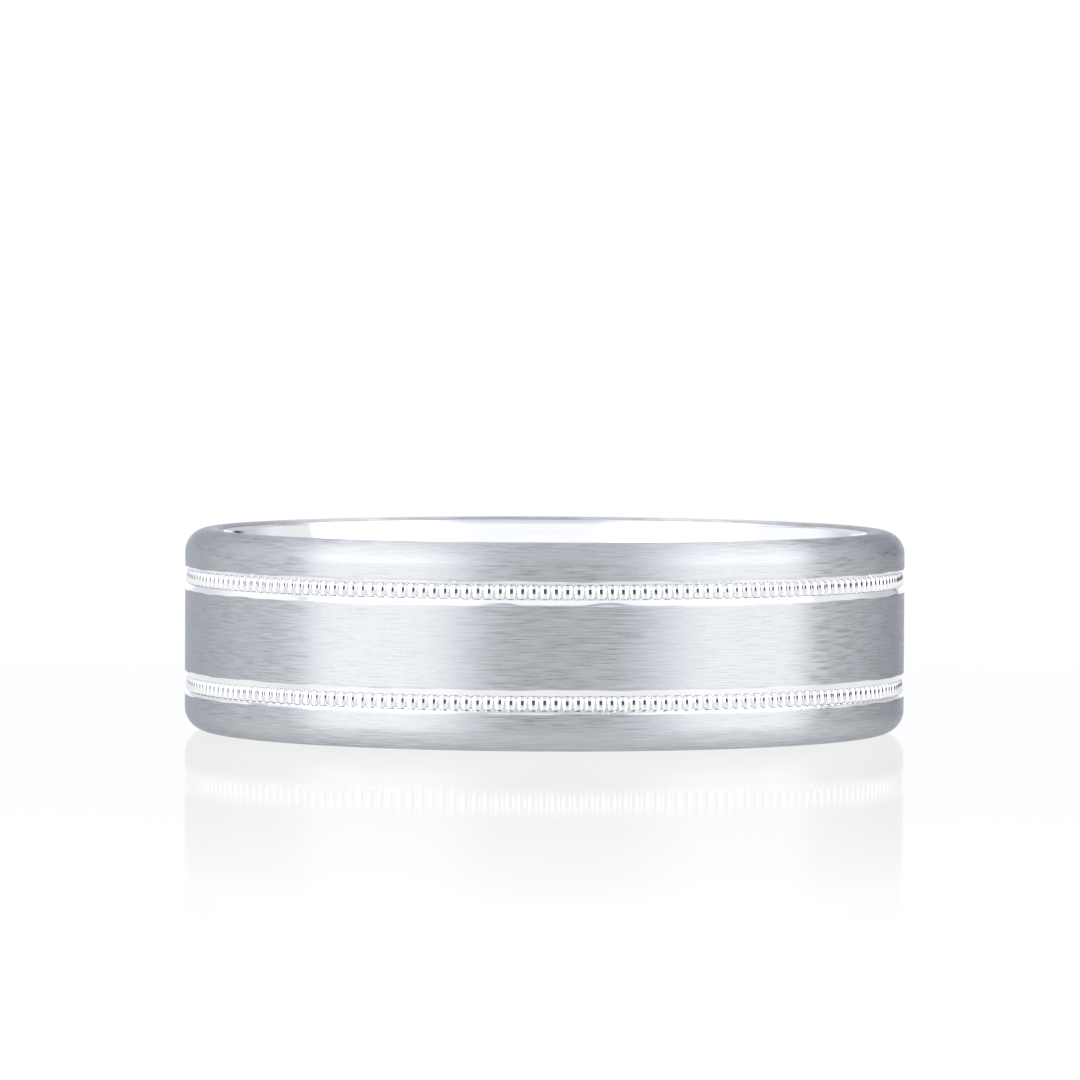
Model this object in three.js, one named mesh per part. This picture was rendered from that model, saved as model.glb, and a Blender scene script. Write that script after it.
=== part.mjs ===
// A man's wedding band, stacked and sleeved: a comfort-fit liner carries two edge bands, a centre
// band and two rings of milgrain wire. Millimetres, +Z along the ring's axis, with the origin in
// the middle of the lower rim, where the band rests on a table.
import * as THREE from 'three';

// Driving dimensions
const OUTER_RADIUS = 11.6;
const BORE_RADIUS = 9.92; // at mid-width: 19.84 mm across, a US size 10
const WIDTH = 6.5;
const GROOVE_OFFSET = 1.68; // each milgrain line's distance from mid-width
const BEAD_ROW_WIDTH = 0.44;
const BRIGHT_CUT = 0.16; // the polished bevel on each side of a bead row, as wide as it is deep
const SHOULDER_RADIUS = 0.75;

const COMFORT_RISE = 0.4; // how much farther out the bore is at its mouths than at mid-width
const SLEEVE_RADIUS = 10.55;
const SOLDER_SEAM = 0.02; // the gap between neighbouring pieces

const BEADS = 204;
const BEAD_DEPTH = 0.13;
const BEAD_CREST_RADIUS = OUTER_RADIUS - 0.03;

const SEGMENTS = 96;
const BORE_STEPS = 8;
const SHOULDER_STEPS = 6;
const BEAD_STEPS = 4;

// Heights of the two milgrain lines, and the radius at which the bands sit on the sleeve
const MID_HEIGHT = WIDTH / 2;
const LOWER_LINE = MID_HEIGHT - GROOVE_OFFSET;
const UPPER_LINE = MID_HEIGHT + GROOVE_OFFSET;
const BAND_INNER_RADIUS = SLEEVE_RADIUS + SOLDER_SEAM;

const brushed = { color: 0xc3c6cc, roughness: 0.42, metalness: 1 };
const polished = { color: 0xd3d6da, roughness: 0.12, metalness: 1 };
const beaded = { color: 0xcbced3, roughness: 0.25, metalness: 1 };

const ring = new THREE.Group();

function addPiece(name, geometry, finish) {
  const piece = new THREE.Mesh(geometry, new THREE.MeshStandardMaterial(finish));
  piece.name = name;
  ring.add(piece);
  return piece;
}

// Turns a closed [radius, height] outline round the ring's axis. The outline runs anticlockwise.
function turned(outline) {
  const points = outline.map(([radius, height]) => new THREE.Vector2(radius, height));
  points.push(points[0].clone());
  return new THREE.LatheGeometry(points, SEGMENTS).rotateX(Math.PI / 2);
}

// The liner: straight outside, and inside a shallow arc that is narrowest at mid-width
function sleeveOutline() {
  const arcRadius = (MID_HEIGHT ** 2 + COMFORT_RISE ** 2) / (2 * COMFORT_RISE);
  const outline = [[SLEEVE_RADIUS, 0], [SLEEVE_RADIUS, WIDTH]];
  for (let step = 0; step <= BORE_STEPS; step++) {
    const height = WIDTH * (1 - step / BORE_STEPS);
    const rise = arcRadius - Math.sqrt(arcRadius ** 2 - (height - MID_HEIGHT) ** 2);
    outline.push([BORE_RADIUS + rise, height]);
  }
  return outline;
}

// A quarter-round shoulder between the outer surface and a rim
function shoulder(fromAngle, toAngle, centreHeight) {
  const centreRadius = OUTER_RADIUS - SHOULDER_RADIUS;
  const points = [];
  for (let step = 0; step <= SHOULDER_STEPS; step++) {
    const angle = THREE.MathUtils.lerp(fromAngle, toAngle, step / SHOULDER_STEPS);
    points.push([
      centreRadius + SHOULDER_RADIUS * Math.cos(angle),
      centreHeight + SHOULDER_RADIUS * Math.sin(angle),
    ]);
  }
  return points;
}

// A polished bevel from a band's end to its outer surface
function brightCut(endHeight, inwards) {
  return [
    [OUTER_RADIUS - BRIGHT_CUT, endHeight],
    [OUTER_RADIUS, endHeight + inwards * BRIGHT_CUT],
  ];
}

// A field ring. Each of its ends has a shoulder, if it is a rim, or a bright cut, beside a bead row.
function bandOutline(lowerEnd, upperEnd) {
  const bottom = lowerEnd === 0
    ? shoulder(-Math.PI / 2, 0, SHOULDER_RADIUS)
    : brightCut(lowerEnd, 1);
  const top = upperEnd === WIDTH
    ? shoulder(0, Math.PI / 2, WIDTH - SHOULDER_RADIUS)
    : brightCut(upperEnd, -1).reverse();
  return [[BAND_INNER_RADIUS, lowerEnd], ...bottom, ...top, [BAND_INNER_RADIUS, upperEnd]];
}

// A ring of milgrain wire: an outline with a round-topped tooth for each bead, round a plain hole
function milgrainRing(line) {
  const corner = (radius, turn) =>
    new THREE.Vector2(radius, 0).rotateAround(new THREE.Vector2(), turn * 2 * Math.PI);
  const outline = [];
  for (let step = 0; step < BEADS * BEAD_STEPS; step++) {
    const acrossBead = (2 * (step % BEAD_STEPS)) / BEAD_STEPS - 1; // -1 and 1 are the valleys
    const drop = BEAD_DEPTH * (1 - Math.sqrt(1 - acrossBead ** 2));
    outline.push(corner(BEAD_CREST_RADIUS - drop, (step / BEAD_STEPS - 0.5) / BEADS));
  }
  const hole = [];
  for (let side = 0; side < SEGMENTS; side++) {
    hole.push(corner(BAND_INNER_RADIUS, -side / SEGMENTS));
  }
  const section = new THREE.Shape(outline);
  section.holes.push(new THREE.Path(hole));
  const geometry = new THREE.ExtrudeGeometry(section, { depth: BEAD_ROW_WIDTH, bevelEnabled: false });
  return geometry.translate(0, 0, line - BEAD_ROW_WIDTH / 2);
}

// A band stops one solder seam short of the bead row beside it.
const reach = BEAD_ROW_WIDTH / 2 + SOLDER_SEAM;

addPiece('comfort_fit_sleeve', turned(sleeveOutline()), polished);
addPiece('lower_edge_band', turned(bandOutline(0, LOWER_LINE - reach)), brushed);
addPiece('lower_milgrain_ring', milgrainRing(LOWER_LINE), beaded);
addPiece('centre_band', turned(bandOutline(LOWER_LINE + reach, UPPER_LINE - reach)), brushed);
addPiece('upper_milgrain_ring', milgrainRing(UPPER_LINE), beaded);
addPiece('upper_edge_band', turned(bandOutline(UPPER_LINE + reach, WIDTH)), brushed);

export default ring;
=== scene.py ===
import math
import random

import bmesh
import bpy
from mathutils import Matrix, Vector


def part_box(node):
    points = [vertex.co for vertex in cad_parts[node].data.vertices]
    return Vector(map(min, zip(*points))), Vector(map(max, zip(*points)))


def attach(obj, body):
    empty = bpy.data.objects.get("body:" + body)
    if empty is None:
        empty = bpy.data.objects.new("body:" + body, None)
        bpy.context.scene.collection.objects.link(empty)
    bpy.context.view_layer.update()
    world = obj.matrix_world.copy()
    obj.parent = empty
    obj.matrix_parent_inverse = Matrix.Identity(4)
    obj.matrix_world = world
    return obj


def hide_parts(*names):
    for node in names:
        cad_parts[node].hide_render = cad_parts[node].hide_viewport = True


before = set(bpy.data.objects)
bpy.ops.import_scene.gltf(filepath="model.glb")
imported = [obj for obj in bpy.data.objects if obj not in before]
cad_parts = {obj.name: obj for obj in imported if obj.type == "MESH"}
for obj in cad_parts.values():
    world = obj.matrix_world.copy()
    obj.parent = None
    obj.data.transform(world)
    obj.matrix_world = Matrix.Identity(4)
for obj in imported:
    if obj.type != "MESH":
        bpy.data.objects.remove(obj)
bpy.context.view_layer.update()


# The comfort-fit liner: the white gold sleeve that carries everything else and touches the finger.
# It is turned in one go and bowed inwards, so that only mid-width grips the finger. A felt bob
# leaves faint lines in its mirror-polished bore, and its end faces are satined with the fields.
MM = 0.001
STEPS_ROUND = 408
SECTORS = 12
SHARP_CORNER = math.radians(40)
MERGE_WITHIN = 0.0001
TOUCHING = 0.001

liner_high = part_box("comfort_fit_sleeve")[1]
width = liner_high[2] / MM
mid_height = width / 2
clearance = 0.0005
outer_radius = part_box("centre_band")[1][0] / MM - clearance
solder_seam = 0.02
seat_radius = liner_high[0] / MM + solder_seam
bore_radius = 9.92
comfort_rise = 0.4
mouth_radius = bore_radius + comfort_rise
mouth_easing = 0.07
easing_facets = 6
liner_facet = 0.12
rim_edge = 10.85
rim_dish = 0.13
dish_reach = 0.6


def wire(corners):
    """Scribes a closed outline through (radius, height) corners, in millimetres, ready to be turned."""
    outline = bmesh.new()
    points = [outline.verts.new((radius, 0, height)) for radius, height in corners]
    for start, end in zip(points, points[1:] + points[:1]):
        outline.edges.new((start, end))
    return outline


def ease(outline, radius, height, size, segments):
    """Rounds the corner of an outline at that radius and height."""
    corner = min(outline.verts, key=lambda point: math.hypot(point.co.x - radius, point.co.z - height))
    bmesh.ops.bevel(
        outline, geom=[corner], offset=size, offset_type="OFFSET", segments=segments,
        profile=0.5, affect="VERTICES", material=-1,
    )


def divide(outline, longest):
    """Cuts an outline's long straight stretches into short ones, so that shading stays flat on them."""
    for edge in list(outline.edges):
        cuts = int(edge.calc_length() / longest)
        if cuts:
            bmesh.ops.subdivide_edges(outline, edges=[edge], cuts=cuts)


def turn(outline, steps):
    """Turns an outline right round the ring's axis: through one sector, which the others then repeat."""
    sector = math.tau / SECTORS
    bmesh.ops.spin(
        outline, geom=outline.verts[:] + outline.edges[:], cent=(0, 0, 0), axis=(0, 0, 1),
        angle=sector, steps=steps // SECTORS,
    )
    bmesh.ops.spin(
        outline, geom=outline.verts[:] + outline.edges[:] + outline.faces[:], cent=(0, 0, 0),
        axis=(0, 0, 1), angle=math.tau - sector, steps=SECTORS - 1, use_duplicate=True,
    )
    bmesh.ops.remove_doubles(outline, verts=outline.verts, dist=MERGE_WITHIN)
    bmesh.ops.recalc_face_normals(outline, faces=outline.faces)


def dish(stock):
    """Draws the rims down a little towards the finger, as the file that breaks their edge does."""
    for point in stock.verts:
        inwards = (rim_edge - math.hypot(point.co.x, point.co.y)) / (rim_edge - mouth_radius)
        from_rim = min(point.co.z, width - point.co.z)
        if inwards > 0 and from_rim < dish_reach:
            drop = rim_dish * inwards ** 2 * (1 - from_rim / dish_reach)
            point.co.z += math.copysign(drop, mid_height - point.co.z)


def satin_where(stock, is_satin):
    """Gives turned stock its finish, face by face, and each point its place across the satin lines."""
    across = stock.verts.layers.float.new("across")
    for point in stock.verts:
        inwards = outer_radius - math.hypot(point.co.x, point.co.y)
        point[across] = point.co.z + math.copysign(inwards, point.co.z - mid_height)
    for face in stock.faces:
        middle = face.calc_center_median()
        face.material_index = SATIN if is_satin(math.hypot(middle.x, middle.y), middle.z) else BRIGHT


def finished(stock, name, *metals):
    """Makes turned stock, in millimetres, into a piece of the ring, in metres."""
    bmesh.ops.scale(stock, vec=(MM, MM, MM), verts=stock.verts)
    mesh = bpy.data.meshes.new(name)
    stock.to_mesh(mesh)
    stock.free()
    mesh.shade_smooth()
    mesh.set_sharp_from_angle(angle=SHARP_CORNER)
    for metal in metals:
        mesh.materials.append(metal)
    piece = bpy.data.objects.new(name, mesh)
    bpy.context.scene.collection.objects.link(piece)
    return piece


def white_gold(name, colour, roughness):
    """A bare white gold surface. Returns its material and its shader."""
    metal = bpy.data.materials.new(name)
    metal.use_nodes = True
    shader = metal.node_tree.nodes["Principled BSDF"]
    shader.inputs["Base Color"].default_value = (*colour, 1)
    shader.inputs["Metallic"].default_value = 1
    shader.inputs["Roughness"].default_value = roughness
    return metal, shader


def node(metal, kind, **settings):
    """Adds a node to a material or a world, and sets it up."""
    added = metal.node_tree.nodes.new(kind)
    for setting, value in settings.items():
        setattr(added, setting, value)
    return added


def join(metal, output, socket):
    """Links one node's output to another node's socket."""
    metal.node_tree.links.new(output, socket)


def scaled_spot(metal, along, across):
    """Object coordinates in millimetres, stretched: along in the ring's plane, across up its axis."""
    coordinates = node(metal, "ShaderNodeTexCoord")
    stretch = node(metal, "ShaderNodeMapping")
    stretch.inputs["Scale"].default_value = (along / MM, along / MM, across / MM)
    join(metal, coordinates.outputs["Object"], stretch.inputs["Vector"])
    return stretch.outputs["Vector"]


def grain(metal, spot, detail):
    """Fine noise on a stretched spot."""
    noise = node(metal, "ShaderNodeTexNoise")
    noise.inputs["Scale"].default_value = 1
    noise.inputs["Detail"].default_value = detail
    join(metal, spot, noise.inputs["Vector"])
    return noise.outputs["Fac"]


def relief(metal, shader, height, depth, strength):
    """Lets a height between 0 and 1 tilt the surface as scratches of that depth would."""
    bump = node(metal, "ShaderNodeBump")
    bump.inputs["Distance"].default_value = depth * MM
    bump.inputs["Strength"].default_value = strength
    join(metal, height, bump.inputs["Height"])
    join(metal, bump.outputs["Normal"], shader.inputs["Normal"])


polished_colour = (0.87, 0.875, 0.89)


def polished():
    """Mirror polish, with the faint lines that a felt bob leaves."""
    metal, shader = white_gold("mirror-polished white gold", polished_colour, roughness=0.07)
    bob_lines = grain(metal, scaled_spot(metal, along=0.5, across=14), detail=3)
    relief(metal, shader, bob_lines, depth=0.0006, strength=0.5)
    return metal


def satin():
    """White gold drawn across a satin wheel: it spreads light up and down, and hardly round the ring."""
    # The streaks further down take over from this colour and this roughness.
    metal, shader = white_gold("satin white gold", colour=(0.635, 0.66, 0.70), roughness=0.38)
    shader.inputs["Anisotropic"].default_value = 0.85
    shader.inputs["Anisotropic Rotation"].default_value = 0.25
    shader.inputs["Specular Tint"].default_value = (0.6, 0.61, 0.64, 1)
    across = node(metal, "ShaderNodeAttribute", attribute_name="across")
    spot = node(metal, "ShaderNodeSeparateXYZ")
    join(metal, scaled_spot(metal, along=1, across=1), spot.inputs["Vector"])
    dark_streak = (0.464, 0.481, 0.503, 1)
    light_streak = (0.648, 0.672, 0.702, 1)
    height_from = 0.36
    height_to = 0.64

    def lines(length, line_width, detail):
        """Short lines of that length and width, in millimetres, running round the ring."""
        stretched = node(metal, "ShaderNodeCombineXYZ")
        for axis, size, source in (
            ("X", length, spot.outputs["X"]),
            ("Y", length, spot.outputs["Y"]),
            ("Z", line_width, across.outputs["Fac"]),
        ):
            per_line = node(metal, "ShaderNodeMath", operation="MULTIPLY")
            per_line.inputs[1].default_value = 1 / size
            join(metal, source, per_line.inputs[0])
            join(metal, per_line.outputs["Value"], stretched.inputs[axis])
        return grain(metal, stretched.outputs["Vector"], detail)

    def between(height, low, high, target):
        """Drives a socket between two values, over the middle of a height's range."""
        spread = node(metal, "ShaderNodeMapRange")
        spread.inputs["From Min"].default_value = height_from
        spread.inputs["From Max"].default_value = height_to
        spread.inputs["To Min"].default_value = low
        spread.inputs["To Max"].default_value = high
        join(metal, height, spread.inputs["Value"])
        join(metal, spread.outputs["Result"], target)

    scratches = lines(length=0.6, line_width=0.04, detail=2)
    relief(metal, shader, scratches, depth=0.004, strength=1)
    streaks = lines(length=0.9, line_width=0.034, detail=2)
    between(streaks, low=0.27, high=0.52, target=shader.inputs["Roughness"])
    tint = node(metal, "ShaderNodeMix", data_type="RGBA")
    tint.inputs["A"].default_value = dark_streak
    tint.inputs["B"].default_value = light_streak
    between(streaks, low=0, high=1, target=tint.inputs["Factor"])
    join(metal, tint.outputs["Result"], shader.inputs["Base Color"])
    return metal


mirror_gold = polished()
satin_gold = satin()
BRIGHT, SATIN = 0, 1

bore_arc = (mid_height ** 2 + comfort_rise ** 2) / (2 * comfort_rise)
liner_outline = wire([(seat_radius, 0), (seat_radius, width), (mouth_radius, width), (mouth_radius, 0)])
divide(liner_outline, liner_facet)
for point in liner_outline.verts:
    if point.co.x < mouth_radius + TOUCHING:
        point.co.x = bore_radius + bore_arc - math.sqrt(bore_arc ** 2 - (point.co.z - mid_height) ** 2)
for rim in (0, width):
    ease(liner_outline, mouth_radius, rim, mouth_easing, easing_facets)
turn(liner_outline, STEPS_ROUND)
dish(liner_outline)
satin_where(liner_outline, lambda radius, height: radius > mouth_radius + mouth_easing)
liner = finished(liner_outline, "sleeve_liner", mirror_gold, satin_gold)
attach(liner, "root")
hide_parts("comfort_fit_sleeve")


# The three satin fields: two edge bands with a rounded shoulder towards the rim, and a plain centre
# band. Each is a white gold hoop shrunk onto the liner. Its outside is drawn across a satin wheel,
# which leaves short fine lines round the ring, and the bevels beside the beads are cut bright.
shoulder_radius = 0.75
shoulder_facets = 14
rim_cut = 0.10
centre_cut = 0.19
cut_depth = 0.09
cut_easing = 0.02
cut_facets = 3
field_facet = 0.08
skin = 0.01
wander_zone = 1.5 * cut_easing
cut_wander = 0.02
phase_per_mm = 10
slow_drift = 0.6
slow_waves = 19
quick_drift = 0.4
quick_waves = 47
trough = 0.76
lower_line = 1.57
upper_line = width - lower_line
row_bottoms = (lower_line - trough / 2 + rim_cut, upper_line - trough / 2 + centre_cut)
row_tops = (lower_line + trough / 2 - centre_cut, upper_line + trough / 2 - rim_cut)


def wander(angle, phase):
    """How far a hand-held graver drifts as it cuts round the ring, between about -1 and 1."""
    slow = slow_drift * math.sin(slow_waves * angle + phase)
    return slow + quick_drift * math.sin(quick_waves * angle + 2 * phase)


def field_outline(low, high, low_cut, high_cut):
    """A field ring's outline: towards a rim it ends in a shoulder, beside a bead row in a bright cut."""
    corners = [(seat_radius, low)]
    if low_cut:
        corners += [(outer_radius - cut_depth, low)]
    corners += [(outer_radius, low + low_cut), (outer_radius, high - high_cut)]
    if high_cut:
        corners += [(outer_radius - cut_depth, high)]
    outline = wire(corners + [(seat_radius, high)])
    for height, cut in ((low + low_cut, low_cut), (high - high_cut, high_cut)):
        if cut:
            ease(outline, outer_radius, height, cut_easing, cut_facets)
        else:
            ease(outline, outer_radius, height, shoulder_radius, shoulder_facets)
    divide(outline, field_facet)
    return outline


def field_ring(name, low, high, low_cut, high_cut, cad_node):
    """Turns a field ring and finishes it: satin outside and on the rim, bright on the cuts."""
    ring = field_outline(low, high, low_cut, high_cut)
    turn(ring, STEPS_ROUND)
    wall_low = low + low_cut
    wall_high = high - high_cut
    satin_where(ring, lambda radius, height: (
        radius > seat_radius + TOUCHING and (not low_cut or height > wall_low)
        and (not high_cut or height < wall_high)
    ))
    for point in ring.verts:
        if math.hypot(point.co.x, point.co.y) < outer_radius - skin:
            continue
        angle = math.atan2(point.co.x, -point.co.y)
        for cut, edge in ((low_cut, wall_low), (high_cut, wall_high)):
            if cut and abs(point.co.z - edge) < wander_zone:
                point.co.z += cut_wander * wander(angle, phase_per_mm * edge)
    dish(ring)
    piece = finished(ring, name, mirror_gold, satin_gold)
    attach(piece, "root")
    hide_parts(cad_node)


field_ring("lower_edge_field", 0, row_bottoms[0], 0, rim_cut, "lower_edge_band")
field_ring("centre_field", row_tops[0], row_bottoms[1], centre_cut, centre_cut, "centre_band")
field_ring("upper_edge_field", row_tops[1], width, rim_cut, 0, "upper_edge_band")


# The two milgrain rows: white gold wire laid in the troughs between the fields. A knurled wheel
# is rolled round it under pressure, which raises a row of small bright beads, none quite alike.
beads = 204
steps_per_bead = 8
steps_up_bead = 8
bead_height = 0.12
bead_lean = 0.017
trough_depth = 0.15
trough_radius = outer_radius - trough_depth
barrel = 5.5
least_full = 0.93
bead_stray = 0.014


def beaded():
    """Burnished white gold, a little softer than the liner's polish."""
    metal, shader = white_gold("burnished white gold", polished_colour, roughness=0.1)
    dents = grain(metal, scaled_spot(metal, along=9, across=9), detail=3)
    relief(metal, shader, dents, depth=0.002, strength=0.5)
    return metal


beaded_gold = beaded()


def milgrain_row(name, low, high, cad_node, seed):
    """Turns a plain wire ring, and then rolls its outer face into beads."""
    chance = random.Random(seed)
    uneven = [
        (chance.uniform(least_full, 1), chance.uniform(-bead_stray, bead_stray)) for bead in range(beads)
    ]
    line = (low + high) / 2
    half_row = (high - low) / 2
    wire_ring = wire([(seat_radius, low), (trough_radius, low), (trough_radius, high), (seat_radius, high)])
    outer_face = [
        edge for edge in wire_ring.edges if all(end.co.x > trough_radius - skin for end in edge.verts)
    ]
    bmesh.ops.subdivide_edges(wire_ring, edges=outer_face, cuts=steps_up_bead - 1)
    turn(wire_ring, beads * steps_per_bead)
    for point in wire_ring.verts:
        if math.hypot(point.co.x, point.co.y) < trough_radius - skin:
            continue
        place = math.atan2(point.co.x, -point.co.y) / math.tau * beads
        bead = round(place)
        round_bead = math.sin(math.radians(180) * (place - bead))
        up_bead = math.sin(math.radians(90) * (point.co.z - line) / half_row)
        swell = math.sqrt(max(0, 1 - round_bead ** 2 - abs(up_bead) ** barrel))
        fullness, offset = uneven[bead % beads]
        radius = trough_radius + (bead_height * fullness - bead_lean * up_bead) * swell
        angle = (bead + round_bead / 2) / beads * math.tau
        point.co.x = radius * math.sin(angle)
        point.co.y = -radius * math.cos(angle)
        point.co.z = line + half_row * up_bead + offset * swell
    row = finished(wire_ring, name, beaded_gold)
    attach(row, "root")
    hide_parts(cad_node)


milgrain_row("lower_bead_row", row_bottoms[0], row_tops[0], "lower_milgrain_ring", seed=3)
milgrain_row("upper_bead_row", row_bottoms[1], row_tops[1], "upper_milgrain_ring", seed=8)


# The stage: the ring stands on a glossy white sheet, lit from below, inside a white cloth tent.
# Two soft boxes light it, left and right of the camera. The opening that the camera looks in through
# is dark, with a lamp in it, and the tent's low back corners, right side, back, roof and seam are dimmer.
sheet_size = 3
sheet_drop = 0.01
sheet_glow = 1.02
sheet_gloss = 0.24
sheet_roughness = 0.06
gloss_near = 15
gloss_far = 95

floor_shape = bmesh.new()
bmesh.ops.create_grid(floor_shape, x_segments=1, y_segments=1, size=sheet_size)
bmesh.ops.translate(floor_shape, vec=(0, 0, -sheet_drop * MM), verts=floor_shape.verts)
floor_mesh = bpy.data.meshes.new("floor")
floor_shape.to_mesh(floor_mesh)
floor_shape.free()
floor = bpy.data.objects.new("floor", floor_mesh)
bpy.context.scene.collection.objects.link(floor)


def fade(material, value, start, end):
    """Goes smoothly from 0 to 1 as value goes from start to end."""
    step = node(material, "ShaderNodeMapRange", interpolation_type="SMOOTHSTEP")
    step.inputs["From Min"].default_value = start
    step.inputs["From Max"].default_value = end
    join(material, value, step.inputs["Value"])
    return step.outputs["Result"]


def maths(material, operation, *terms):
    """One step of arithmetic, on numbers or on what other nodes give."""
    step = node(material, "ShaderNodeMath", operation=operation)
    for socket, term in zip(step.inputs, terms):
        if isinstance(term, (int, float)):
            socket.default_value = term
        else:
            join(material, term, socket)
    return step.outputs["Value"]


sheet = bpy.data.materials.new("backlit acrylic sheet")
sheet.use_nodes = True
sheet.node_tree.nodes.clear()
lit_from_below = node(sheet, "ShaderNodeEmission")
lit_from_below.inputs["Strength"].default_value = sheet_glow
mirrored = node(sheet, "ShaderNodeBsdfGlossy")
mirrored.inputs["Roughness"].default_value = sheet_roughness
on_sheet = node(sheet, "ShaderNodeTexCoord")
from_ring = node(sheet, "ShaderNodeVectorMath", operation="LENGTH")
join(sheet, on_sheet.outputs["Object"], from_ring.inputs[0])
gloss_left = fade(sheet, from_ring.outputs["Value"], gloss_far * MM, gloss_near * MM)
sheet_mix = node(sheet, "ShaderNodeMixShader")
sheet_out = node(sheet, "ShaderNodeOutputMaterial")
join(sheet, maths(sheet, "MULTIPLY", gloss_left, sheet_gloss), sheet_mix.inputs["Fac"])
join(sheet, lit_from_below.outputs["Emission"], sheet_mix.inputs[1])
join(sheet, mirrored.outputs["BSDF"], sheet_mix.inputs[2])
join(sheet, sheet_mix.outputs["Shader"], sheet_out.inputs["Surface"])
floor_mesh.materials.append(sheet)

tent = bpy.data.worlds.new("light tent")
tent.use_nodes = True
bpy.context.scene.world = tent
tent.node_tree.nodes.clear()
direction = node(tent, "ShaderNodeTexCoord")
parts = node(tent, "ShaderNodeSeparateXYZ")
join(tent, direction.outputs["Generated"], parts.inputs["Vector"])
backwards = parts.outputs["Y"]
ahead = maths(tent, "SUBTRACT", 1, backwards)
half_bearing = maths(tent, "ARCTAN2", parts.outputs["X"], ahead)
bearing = maths(tent, "DEGREES", maths(tent, "MULTIPLY", half_bearing, 2))
elevation = maths(tent, "DEGREES", maths(tent, "ARCSINE", parts.outputs["Z"]))


def panel(left_start, left_end, right_end, right_start):
    """1 between two bearings, fading to 0 outside them."""
    left_edge = fade(tent, bearing, left_start, left_end)
    right_edge = fade(tent, bearing, right_start, right_end)
    return maths(tent, "MULTIPLY", left_edge, right_edge)


tent_glow = 1.12
box_glow = 1.42
box_bar_shade = 0.12
box_top = 0.4
box_foot_gain = 0.6
opening_shade = 0.92
above_lamp_share = 0.6
corner_shade = 0.75
left_corner_share = 0.7
right_side_shade = 0.15
back_shade = 0.25
roof_shade = 0.33
seam_shade = 0.3
boxes = maths(tent, "ADD", panel(-86, -75, -36, -17), panel(26, 54, 87, 98))
boxes = maths(tent, "MULTIPLY_ADD", panel(58, 66, 74, 82), -box_bar_shade, boxes)
box_strength = maths(tent, "MULTIPLY_ADD", fade(tent, elevation, 50, 20), box_foot_gain, box_top)
below_lamp = fade(tent, elevation, 16, 13)
above_lamp = maths(tent, "MULTIPLY", fade(tent, elevation, 38, 41), fade(tent, elevation, 46, 43))
around_lamp = maths(tent, "MULTIPLY_ADD", above_lamp, above_lamp_share, below_lamp)
in_front = maths(tent, "MULTIPLY", panel(-23, -12, 20, 36), fade(tent, backwards, 0.3, 0))
opening = maths(tent, "MULTIPLY", in_front, around_lamp)
left_corner = maths(tent, "MULTIPLY", panel(-156, -132, -96, -79), fade(tent, elevation, 10, 6))
right_panel = panel(84, 96, 152, 168)
right_corner = maths(tent, "MULTIPLY", right_panel, fade(tent, elevation, 9, 6))
both_corners = maths(tent, "MULTIPLY_ADD", left_corner, left_corner_share, right_corner)
low_corners = maths(tent, "MULTIPLY", both_corners, fade(tent, backwards, 0.96, 0.9))
lit = maths(tent, "MULTIPLY_ADD", opening, -opening_shade, 1)
lit = maths(tent, "MULTIPLY_ADD", low_corners, -corner_shade, lit)
right_side = maths(tent, "MULTIPLY", right_panel, fade(tent, elevation, 60, 35))
lit = maths(tent, "MULTIPLY_ADD", right_side, -right_side_shade, lit)
back_wall = maths(tent, "MULTIPLY", fade(tent, backwards, 0.5, 0.75), fade(tent, elevation, 5, 9))
lit = maths(tent, "MULTIPLY_ADD", back_wall, -back_shade, lit)
roof = fade(tent, elevation, 58, 76)
lit = maths(tent, "MULTIPLY_ADD", roof, -roof_shade, lit)
walls = maths(tent, "MULTIPLY", lit, tent_glow)
glow = maths(tent, "MULTIPLY_ADD", maths(tent, "MULTIPLY", boxes, box_strength), box_glow, walls)
seam = maths(tent, "MULTIPLY", fade(tent, elevation, 30, 35), fade(tent, elevation, 42, 37))
glow = maths(tent, "MULTIPLY", glow, maths(tent, "MULTIPLY_ADD", seam, -seam_shade, 1))

light_path = node(tent, "ShaderNodeLightPath")
seen_white = node(tent, "ShaderNodeMix", data_type="FLOAT")
join(tent, light_path.outputs["Is Camera Ray"], seen_white.inputs["Factor"])
join(tent, glow, seen_white.inputs["A"])
seen_white.inputs["B"].default_value = sheet_glow
background = node(tent, "ShaderNodeBackground")
join(tent, seen_white.outputs["Result"], background.inputs["Strength"])
cloth_white = (0.95, 0.98, 1.07, 1)
lamp_white = (1, 1, 1, 1)
tone = node(tent, "ShaderNodeMix", data_type="RGBA")
tone.inputs["A"].default_value = cloth_white
tone.inputs["B"].default_value = lamp_white
lamp_band = maths(tent, "MULTIPLY", fade(tent, elevation, 12, 18), fade(tent, elevation, 40, 34))
neutral = maths(tent, "MAXIMUM", boxes, lamp_band)
join(tent, maths(tent, "MAXIMUM", neutral, light_path.outputs["Is Camera Ray"]), tone.inputs["Factor"])
join(tent, tone.outputs["Result"], background.inputs["Color"])
tent_out = node(tent, "ShaderNodeOutputWorld")
join(tent, background.outputs["Background"], tent_out.inputs["Surface"])


# The camera: a long lens, almost level with the ring and tilted down towards it by 2.3 degrees.
camera_aside = -0.16
camera_distance = 280
camera_height = 17.345
tilt_down = 2.291
turn_left = 0.266
camera_data = bpy.data.cameras.new("camera")
camera_data.lens = 289.41
camera_data.sensor_width = 36
camera = bpy.data.objects.new("camera", camera_data)
camera.location = (camera_aside * MM, -camera_distance * MM, camera_height * MM)
camera.rotation_mode = "ZYX"
camera.rotation_euler = (math.radians(90 - tilt_down), 0, math.radians(turn_left))
bpy.context.scene.collection.objects.link(camera)
bpy.context.scene.camera = camera
bpy.context.scene.view_settings.view_transform = "Standard"
